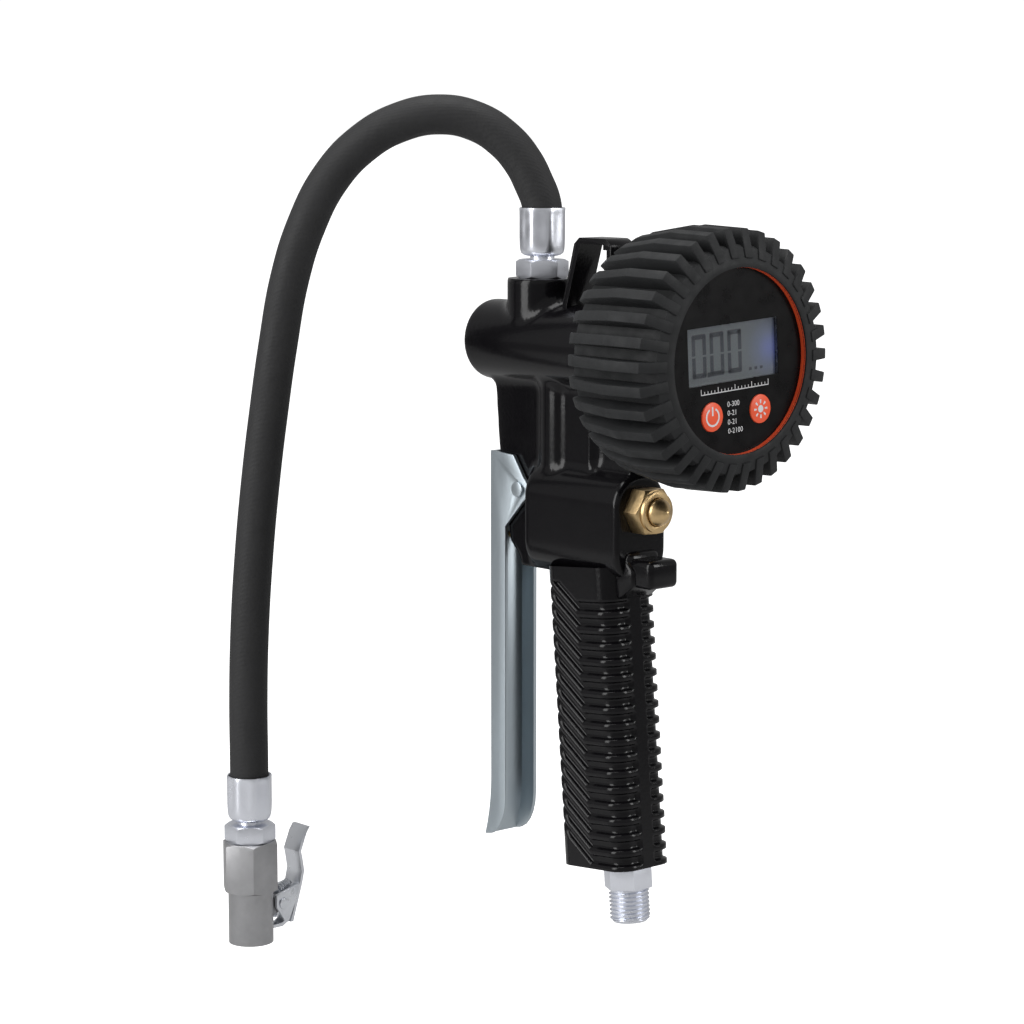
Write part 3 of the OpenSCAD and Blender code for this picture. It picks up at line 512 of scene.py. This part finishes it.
def makeHookLug():
    bm = bmesh.new()
    roundedBlock(bm, hook["low"], hook["high"], hook["round"], 4)
    roundedBlock(bm, hook["rootLow"], hook["rootHigh"], hook["rootRound"], 4)
    plate = sidePlate(bm, [(-17.6, -98), (-22.5, -102), (-22.5, -106.9), (-15.6, -112.4), (-8, -107)], hook["ramp"])
    edges = {edge for vert in plate for edge in vert.link_edges}
    bmesh.ops.bevel(bm, geom=list(edges), offset=hook["rampRound"], offset_type="OFFSET", segments=3, profile=0.5,
                    affect="EDGES", material=-1, clamp_overlap=True)
    bmesh.ops.scale(bm, vec=(mm, mm, mm), verts=bm.verts)
    return addPiece(bm, "hook_lug", "frame", [finish["paint"]], ("body_casting",), 50)


grip = {"width": 23.2, "depth": 31.0, "corner": 6.2, "length": 94.0, "pitch": 5.144, "grooves": 17, "first": 8.55,
        "cut": 1.3, "grooveWidth": 2.0, "strip": 2.5, "climb": 0.8, "bend": -0.5, "wall": 0.75,
        "lead": 4.0, "stripEdge": 0.9, "around": 240, "footRound": 0.4}


def gripPoint(t):
    # A point on the handle's outline and the way out from it; t runs from the front middle round to it again.
    a, b, r = grip["width"] / 2, grip["depth"] / 2, grip["corner"]
    turn = pi * r / 2
    sides = [(a - r), turn, 2 * (b - r), turn, 2 * (a - r), turn, 2 * (b - r), turn, (a - r)]
    s = t * sum(sides)
    starts = [(0, -b), None, (a, -b + r), None, (a - r, b), None, (-a, b - r), None, (-a + r, -b)]
    ways = [(1, 0), None, (0, 1), None, (-1, 0), None, (0, -1), None, (1, 0)]
    centres = {1: (a - r, -b + r, -90), 3: (a - r, b - r, 0), 5: (-a + r, b - r, 90), 7: (-a + r, -b + r, 180)}
    for i, side in enumerate(sides):
        if s <= side or i == 8:
            if i in centres:
                cx, cy, begin = centres[i]
                angle = radians(begin) + s / r
                return cx + r * cos(angle), cy + r * sin(angle), cos(angle), sin(angle)
            x, y = starts[i][0] + ways[i][0] * s, starts[i][1] + ways[i][1] * s
            return x, y, ways[i][1], -ways[i][0]
        s -= side


def smoothStep(value):
    value = min(max(value, 0.0), 1.0)
    return value * value * (3 - 2 * value)


def leanOver(bm):
    # From the handle's own millimetres to the shared frame, with its lean.
    lean = Matrix.Rotation(-radians(cast["lean"]), 3, "X")
    bmesh.ops.rotate(bm, cent=(0, 0, 0), matrix=lean, verts=bm.verts)
    bmesh.ops.translate(bm, vec=(0, cast["gripTop"][0], cast["gripTop"][1]), verts=bm.verts)
    bmesh.ops.scale(bm, vec=(mm, mm, mm), verts=bm.verts)


def gripRows():
    # Heights down the handle, close together at the walls of each groove.
    half, wall = grip["grooveWidth"] / 2, grip["wall"]
    rows = [-grip["lead"], 0.0, grip["first"] - 2.4]
    for groove in range(grip["grooves"]):
        middle = grip["first"] + groove * grip["pitch"]
        for away in (half + wall, half + wall * 0.75, half + wall * 0.25, half, half * 0.4):
            rows.append(middle - away)
        rows.append(middle)
        for away in (half * 0.4, half, half + wall * 0.25, half + wall * 0.75, half + wall):
            rows.append(middle + away)
        rows.append(middle + grip["pitch"] / 2)
    past = grip["length"] + grip["climb"] * (grip["depth"] / 2 - grip["bend"])
    while rows[-1] + 1.5 < past:
        rows.append(rows[-1] + 1.5)
    rows.append(past)
    return rows


def grooveDepth(x, height):
    # Grooves run level round the front corners; from the middle of each side they climb towards the rear.
    row = (height - grip["first"]) / grip["pitch"]
    nearest = min(max(round(row), 0), grip["grooves"] - 1)
    away = abs(row - nearest) * grip["pitch"]
    across = smoothStep((grip["grooveWidth"] / 2 + grip["wall"] - away) / grip["wall"])
    strip = smoothStep((abs(x) - grip["strip"]) / grip["stripEdge"])
    return grip["cut"] * across * strip


def makeGrip():
    bm = bmesh.new()
    around = grip["around"]
    outline = [gripPoint(i / around) for i in range(around)]
    rings = []
    for height in gripRows():
        ring = []
        for x, y, outX, outY in outline:
            down = height - grip["climb"] * max(0.0, y - grip["bend"])
            cut = grooveDepth(x, height) if 1.0 < down < grip["length"] - 0.8 else 0.0
            down = min(max(down, -grip["lead"]), grip["length"])
            ring.append(bm.verts.new((x - outX * cut, y - outY * cut, -down)))
        rings.append(ring)
    for upper, lower in zip(rings, rings[1:]):
        for i in range(around):
            bm.faces.new((upper[i], upper[(i + 1) % around], lower[(i + 1) % around], lower[i]))
    bm.faces.new(list(reversed(rings[-1])))
    bmesh.ops.remove_doubles(bm, verts=bm.verts, dist=1e-4)
    bmesh.ops.recalc_face_normals(bm, faces=bm.faces)
    rimEdges = [e for e in bm.edges if all(abs(v.co.z + grip["length"]) < 1e-4 for v in e.verts)
                and len(e.link_faces) == 2 and e.calc_face_angle(0) > 0.5]
    bmesh.ops.bevel(bm, geom=rimEdges, offset=grip["footRound"], offset_type="OFFSET", segments=2, profile=0.5,
                    affect="EDGES",
                    material=-1, clamp_overlap=True)
    leanOver(bm)
    return addPiece(bm, "ribbed_handle", "frame", [finish["paint"]], ("body_casting",), 75)


makeCasting()
makeHookLug()
makeGrip()
print("casting made")


# Inlet: hexagon and a cut thread.

inlet = {"flats": 14.0, "hexTop": -1.0, "hexHeight": 7.6, "hexTurn": 31.0, "radius": 6.5785, "pitch": 1.337,
         "depth": 0.86, "length": 10.9, "bore": 3.5, "drop": 93.0, "forward": -5.2, "perTurn": 40}


def hexagon(bm, flats, low, high, turn, lead=0.55):
    corner = flats / 2 / cos(pi / 6)
    made = bmesh.ops.create_cone(bm, cap_ends=True, segments=6, radius1=corner, radius2=corner,
                                 depth=high - low)["verts"]
    bmesh.ops.rotate(bm, cent=(0, 0, 0), matrix=Matrix.Rotation(radians(turn), 3, "Z"), verts=made)
    bmesh.ops.translate(bm, vec=(0, 0, (low + high) / 2), verts=made)
    rims = [e for e in {e for v in made for e in v.link_edges} if abs(e.verts[0].co.z - e.verts[1].co.z) < 0.01]
    bmesh.ops.bevel(bm, geom=rims, offset=lead, offset_type="OFFSET", segments=2, profile=0.5, affect="EDGES",
                    material=-1, clamp_overlap=True)


def turned(bm, outline, steps=64):
    # outline: (radius, z) points of a closed section, turned about the Z axis.
    verts = [bm.verts.new((radius, 0, z)) for radius, z in outline]
    edges = [bm.edges.new((verts[i], verts[(i + 1) % len(verts)])) for i in range(len(verts))]
    bmesh.ops.spin(bm, geom=verts + edges, cent=(0, 0, 0), axis=(0, 0, 1), angle=2 * pi, steps=steps,
                   use_merge=True)


def makeInlet():
    bm = bmesh.new()
    hexBottom = inlet["hexTop"] - inlet["hexHeight"]
    end = hexBottom - inlet["length"]
    root = inlet["radius"] - inlet["depth"]
    crest = 0.16 * inlet["pitch"]
    start = hexBottom + inlet["pitch"]
    section = [(root, 0), (root, -crest), (inlet["radius"], -inlet["pitch"] / 2 + crest / 2),
               (inlet["radius"], -inlet["pitch"] / 2 - crest / 2), (root, -inlet["pitch"] + crest),
               (root, -inlet["pitch"])]
    verts = [bm.verts.new((radius, 0, start + z)) for radius, z in section]
    edges = [bm.edges.new((verts[i], verts[i + 1])) for i in range(len(verts) - 1)]
    turns = int(inlet["length"] / inlet["pitch"]) + 2
    bmesh.ops.spin(bm, geom=verts + edges, cent=(0, 0, 0), axis=(0, 0, -1), angle=2 * pi * turns,
                   dvec=(0, 0, -inlet["pitch"] / inlet["perTurn"]), steps=inlet["perTurn"] * turns)
    bmesh.ops.remove_doubles(bm, verts=bm.verts, dist=1e-4)
    for height, up in ((hexBottom + 0.2, 1), (end + 0.9, -1)):
        bmesh.ops.bisect_plane(bm, geom=list(bm.verts) + list(bm.edges) + list(bm.faces), dist=1e-5,
                               plane_co=(0, 0, height), plane_no=(0, 0, up), clear_outer=True)
    bmesh.ops.recalc_face_normals(bm, faces=bm.faces)
    turned(bm, [(inlet["bore"], hexBottom + 0.5), (inlet["bore"], end), (root - 0.35, end), (root, end + 0.35),
                (root + 0.3, end + 0.92), (root - 0.1, end + 0.95), (root - 0.1, hexBottom + 0.5)])
    hexagon(bm, inlet["flats"], hexBottom, inlet["hexTop"] + 0.9, inlet["hexTurn"])
    bmesh.ops.recalc_face_normals(bm, faces=bm.faces)
    bmesh.ops.translate(bm, vec=(0, inlet["forward"], -inlet["drop"]), verts=bm.verts)
    leanOver(bm)
    return addPiece(bm, "threaded_inlet", "frame", [finish["nickel"]], ("inlet_fitting",), 38)


makeInlet()
print("inlet cut")


# Bleed button, domed.

dome = {"radius": 4.5, "height": 4.8, "rim": 0.4, "skirt": 1.4, "steps": 14, "shape": 1.7}


def makeDome():
    # Turned about the bleed valve's own axis, along Y, with its crown to the front.
    low, high = (Vector(corner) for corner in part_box("bleed_button"))
    middle = (low + high) / 2
    front = low.y
    bm = bmesh.new()
    tip, rim = front, front + (dome["height"] - dome["rim"]) * mm
    crown = [(dome["radius"] * (1 - (i / dome["steps"]) ** dome["shape"]) ** (1 / 1.25) * mm,
              rim + (tip - rim) * i / dome["steps"]) for i in range(dome["steps"] + 1)]
    back = rim + dome["skirt"] * mm
    outline = [(0, back), (dome["radius"] * mm, back)] + crown
    verts = [bm.verts.new((radius, y, middle.z)) for radius, y in outline]
    edges = [bm.edges.new((verts[i], verts[i + 1])) for i in range(len(verts) - 1)]
    bmesh.ops.spin(bm, geom=verts + edges, cent=(0, 0, middle.z), axis=(0, 1, 0), angle=2 * pi, steps=48,
                   use_merge=True)
    bmesh.ops.remove_doubles(bm, verts=bm.verts, dist=1e-6)
    bmesh.ops.recalc_face_normals(bm, faces=bm.faces)
    return addPiece(bm, "bleed_dome", "bleed", [finish["brass"]], ("bleed_button",), 50)


makeDome()
print("dome turned")


# Ferrules: deep cups with eight pressed flats and soft ridges between them.

ferrule = {
    "radius": 7.75, "press": 0.5, "around": 96,
    "sections": [  # share of the radius, height, share of the pressing
        (0.66, 0.0, 0), (0.78, 0.25, 0), (0.89, 0.9, 0), (0.955, 2.0, 0.4), (0.985, 3.4, 0.8), (1.0, 6.0, 1),
        (1.0, 10.0, 1), (1.0, 13.0, 1), (1.0, 14.2, 0.85), (1.0, 15.2, 0.5), (0.985, 15.55, 0.4),
        (0.94, 15.6, 0.4), (0.895, 15.2, 0.2), (0.88, 12.0, 0)]}


def makeFerrule(node, name):
    low, high = (Vector(corner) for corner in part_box(node))
    middle = (low + high) / 2
    bm = bmesh.new()
    around = ferrule["around"]
    rows = []
    for scale, height, pressed in ferrule["sections"]:
        row = []
        for i in range(around):
            turn = 2 * pi * i / around
            flat = abs(cos(4 * turn)) ** 1.6
            radius = (ferrule["radius"] - ferrule["press"] * pressed * flat) * scale
            row.append(bm.verts.new((middle.x + radius * cos(turn) * mm, middle.y + radius * sin(turn) * mm,
                                     low.z + height * mm)))
        rows.append(row)
    bm.faces.new(list(reversed(rows[0])))
    for lower, upper in zip(rows, rows[1:]):
        for i in range(around):
            bm.faces.new((lower[i], lower[(i + 1) % around], upper[(i + 1) % around], upper[i]))
    bmesh.ops.recalc_face_normals(bm, faces=bm.faces)
    return addPiece(bm, name, "frame", [finish["nickel"]], (node,), 55)


makeFerrule("port_ferrule", "port_cup")
makeFerrule("chuck_ferrule", "chuck_cup")
print("ferrules pressed")


# Dial: digits, scale line, numbers and button marks.

dial = {"turn": 3.3, "windowX": -1.2, "windowZ": 2.9, "windowWidth": 38.6, "windowHeight": 17.6, "buttonX": 10.4,
        "buttonMid": -0.9, "buttonDrop": 15.9, "digitWidth": 6.0, "digitHeight": 13.3, "digitPitch": 7.6,
        "digitStart": 2.9, "stroke": 1.45}


def bar(bm, x0, z0, x1, z1, y, slant=0.0):
    # A flat bar on the dial's plane, from corner to corner.
    corners = [(x0, z0), (x1, z0), (x1, z1), (x0, z1)]
    bm.faces.new([bm.verts.new((x + slant * z, y, z)) for x, z in corners])


def onDial(bm, turn):
    bmesh.ops.rotate(bm, cent=(0, 0, 0), matrix=Matrix.Rotation(-radians(turn), 3, "Y"), verts=bm.verts)
    bmesh.ops.scale(bm, vec=(mm, mm, mm), verts=bm.verts)
    bmesh.ops.translate(bm, vec=(0, 0, gaugeMid.z), verts=bm.verts)


def makeDigits():
    bm = bmesh.new()
    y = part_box("lcd_module")[0][1] / mm - 0.03
    left = dial["windowX"] - dial["windowWidth"] / 2 + dial["digitStart"]
    bottom = dial["windowZ"] - dial["digitHeight"] / 2
    wide, tall, pen = dial["digitWidth"], dial["digitHeight"], dial["stroke"]
    for place in range(3):
        x = left + place * dial["digitPitch"]
        gap = 0.3
        bar(bm, x + gap, bottom, x + wide - gap, bottom + pen, y)
        bar(bm, x + gap, bottom + tall - pen, x + wide - gap, bottom + tall, y)
        for side in (x, x + wide - pen):
            bar(bm, side, bottom + gap, side + pen, bottom + tall / 2 - gap, y)
            bar(bm, side, bottom + tall / 2 + gap, side + pen, bottom + tall - gap, y)
    point = left + dial["digitPitch"] - 1.25
    bar(bm, point, bottom - 0.1, point + pen, bottom + pen - 0.1, y)
    for step in range(3):  # unit marks, dim and plain
        bar(bm, left + 24.2 + 2.4 * step, bottom, left + 25.4 + 2.4 * step, bottom + 0.9, y)
    onDial(bm, dial["turn"])
    bmesh.ops.recalc_face_normals(bm, faces=bm.faces)
    return addPiece(bm, "display_digits", "frame", [finish["digit"]])


def numberFaces(bm, words, x, z, size, y):
    data = bpy.data.curves.new("number", "FONT")
    data.body = words
    data.size = size
    data.resolution_u = 3
    temp = bpy.data.objects.new("number", data)
    bpy.context.scene.collection.objects.link(temp)
    graph = bpy.context.evaluated_depsgraph_get()
    mesh = bpy.data.meshes.new_from_object(temp.evaluated_get(graph))
    before = len(bm.verts)
    bm.from_mesh(mesh)
    bm.verts.ensure_lookup_table()
    for vert in bm.verts[before:]:
        vert.co = Vector((vert.co.x + x, y, vert.co.y + z))
    bpy.data.objects.remove(temp)
    bpy.data.meshes.remove(mesh)
    bpy.data.curves.remove(data)


def makePanelMarks():
    bm = bmesh.new()
    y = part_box("front_panel")[0][1] / mm - 0.03
    z = dial["windowZ"] - dial["windowHeight"] / 2 - 3.0
    bar(bm, -15.5, z, 13.5, z + 0.28, y)
    for step in range(21):
        x = -15.5 + 29 * step / 20
        bar(bm, x - 0.12, z, x + 0.12, z + (1.9 if step % 5 == 0 else 1.1), y)
    for row, words in enumerate(("0-300", "0-21", "0-21", "0-2100")):
        numberFaces(bm, words, -4.6, -13.6 - 2.75 * row, 2.3, y)
    onDial(bm, dial["turn"])
    bmesh.ops.recalc_face_normals(bm, faces=bm.faces)
    return addPiece(bm, "panel_numbers", "frame", [finish["white"]])


def arcStrip(bm, x, z, inner, outer, begin, end, y, steps=28):
    ring = []
    for i in range(steps + 1):
        angle = radians(begin + (end - begin) * i / steps)
        ring.append([bm.verts.new((x + r * sin(angle), y, z + r * cos(angle))) for r in (inner, outer)])
    for first, second in zip(ring, ring[1:]):
        bm.faces.new((first[0], second[0], second[1], first[1]))


def makeButtonMark(node, body, name, x, rays):
    # A ring open at the top with an upright bar for power, or a small disc with rays for the lamp.
    bm = bmesh.new()
    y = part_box(node)[0][1] / mm - 0.03
    z = -dial["buttonDrop"]
    if rays:
        arcStrip(bm, x, z, 0.0, 1.15, 0, 360, y)
        for ray in range(8):
            turn = 45 * ray
            arcStrip(bm, x, z, 1.75, 2.9, turn - 7, turn + 7, y, 2)
    else:
        arcStrip(bm, x, z, 2.35, 2.95, 28, 332, y)
        bar(bm, x - 0.3, z + 0.4, x + 0.3, z + 3.2, y)
    onDial(bm, dial["turn"])
    bmesh.ops.recalc_face_normals(bm, faces=bm.faces)
    return addPiece(bm, name, body, [finish["white"]])


makeDigits()
makePanelMarks()
makeButtonMark("power_button", "power_key", "power_mark", dial["buttonMid"] - dial["buttonX"], False)
makeButtonMark("light_button", "light_key", "lamp_mark", dial["buttonMid"] + dial["buttonX"], True)
print("dial marked")



# Metal and trim taken from the CAD.

for name, body, key, slotName, width in (
        ("hanger_strap", "frame", "paint", "strap_black", 0.45),
        ("trigger_lever", "lever", "lever", "zinc_lever", 0.3),
        ("lever_pin", "lever", "lever", "zinc_lever", 0.35), ("brass_cap", "frame", "brass", "brass", 0.25),
        ("rear_plug", "frame", "paint", "black_paint", 0.4),
        ("port_tail", "frame", "nickel", "plated_steel", 0.22), 
        ("chuck_tail", "frame", "nickel", "plated_steel", 0.22),
        ("chuck_body", "frame", "chuck", "chuck_zinc", 0.35), ("chuck_clip", "clip", "spring", "spring_steel", 0.2),
        ("clip_rivet", "clip", "spring", "spring_steel", 0.3),
        ("power_button", "power_key", "orange", "orange_plastic", 0.3),
        ("light_button", "light_key", "orange", "orange_plastic", 0.3),
        ("bezel_ring", "frame", "orange", "orange_plastic", 0.12)):
    roundedCopy(name, body, finish[key], width * mm)
print("metal parts finished")

kept = {"front_panel": "panel", "display_window": "window", "lcd_module": "display", "gauge_case": "case",
        "gauge_stem": "brass", "stem_washer": "seal", "circuit_board": "board", "pressure_sensor": "nickel",
        "left_holder": "case", "right_holder": "case",
        "left_cell": "nickel", "right_cell": "nickel", "plunger": "brass", "poppet_seal": "seal",
        "valve_seat": "brass", "valve_spring": "spring", "stem_bush": "brass", "stem_seal": "seal",
        "bleed_seal": "seal", "bleed_spring": "spring", "inlet_filter": "spring", "inlet_seal": "seal",
        "chuck_seal": "seal", "valve_depressor": "brass", "clip_spring": "spring"}
for name, key in kept.items():
    node = nodes[name]
    node.data.materials.clear()
    node.data.materials.append(finish[key])


# Cord.

hosePiece.data.materials.append(finish["hose"])
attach(hosePiece, "frame")
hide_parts("hose_tube")


# Floor and light.

studio = {
    "floor": -0.30, "reach": 60, "ambient": 0.42, "white": 1.05, "albedo": 0.5,
    "lights": [  # name, place, target, width, height, power
        ("leftBox", (-1.0, 0.25, 0.25), (0, 0.03, -0.08), 0.5, 0.9, 8),
        ("rightBox", (0.55, -0.9, 0.35), (0, 0.0, -0.08), 0.3, 0.7, 5),
        ("topBox", (-0.1, 0.1, 0.95), (0, 0.03, -0.05), 0.8, 0.6, 7)]}


def makeStudio():
    bm = bmesh.new()
    bmesh.ops.create_grid(bm, x_segments=1, y_segments=1, size=studio["reach"])
    bmesh.ops.translate(bm, vec=(0, 0, studio["floor"]), verts=bm.verts)
    mesh = bpy.data.meshes.new("floor")
    bm.to_mesh(mesh)
    bm.free()
    material, tree, shader = newMaterial("paleFloor", (studio["albedo"],) * 3, 0.0, 0.9)
    seen = tree.nodes.new("ShaderNodeLightPath")
    shine = tree.nodes.new("ShaderNodeMapRange")
    shine.inputs["To Min"].default_value = 0.0
    shine.inputs["To Max"].default_value = studio["white"]
    tree.links.new(seen.outputs["Is Camera Ray"], shine.inputs["Value"])
    tree.links.new(shine.outputs["Result"], shader.inputs["Emission Strength"])
    shader.inputs["Emission Color"].default_value = (1, 1, 1, 1)
    mesh.materials.append(material)
    floorPiece = bpy.data.objects.new("floor", mesh)
    bpy.context.scene.collection.objects.link(floorPiece)
    world = bpy.data.worlds.new("studio")
    bpy.context.scene.world = world
    world.use_nodes = True
    tree = world.node_tree
    background = tree.nodes["Background"]
    seen = tree.nodes.new("ShaderNodeLightPath")
    mix = tree.nodes.new("ShaderNodeMapRange")
    mix.inputs["To Min"].default_value = studio["ambient"]
    mix.inputs["To Max"].default_value = studio["white"]
    tree.links.new(seen.outputs["Is Camera Ray"], mix.inputs["Value"])
    tree.links.new(mix.outputs["Result"], background.inputs["Strength"])
    background.inputs["Color"].default_value = (1, 1, 1, 1)
    bpy.context.scene.view_settings.view_transform = "Standard"


def addLight(name, place, target, size, sizeY, power):
    data = bpy.data.lights.new(name, "AREA")
    data.shape = "RECTANGLE"
    data.size = size
    data.size_y = sizeY
    data.energy = power
    lamp = bpy.data.objects.new(name, data)
    lamp.location = place
    lamp.rotation_euler = (Vector(target) - Vector(place)).to_track_quat("-Z", "Y").to_euler()
    bpy.context.scene.collection.objects.link(lamp)


makeStudio()
for light in studio["lights"]:
    addLight(*light)
print("studio lit")
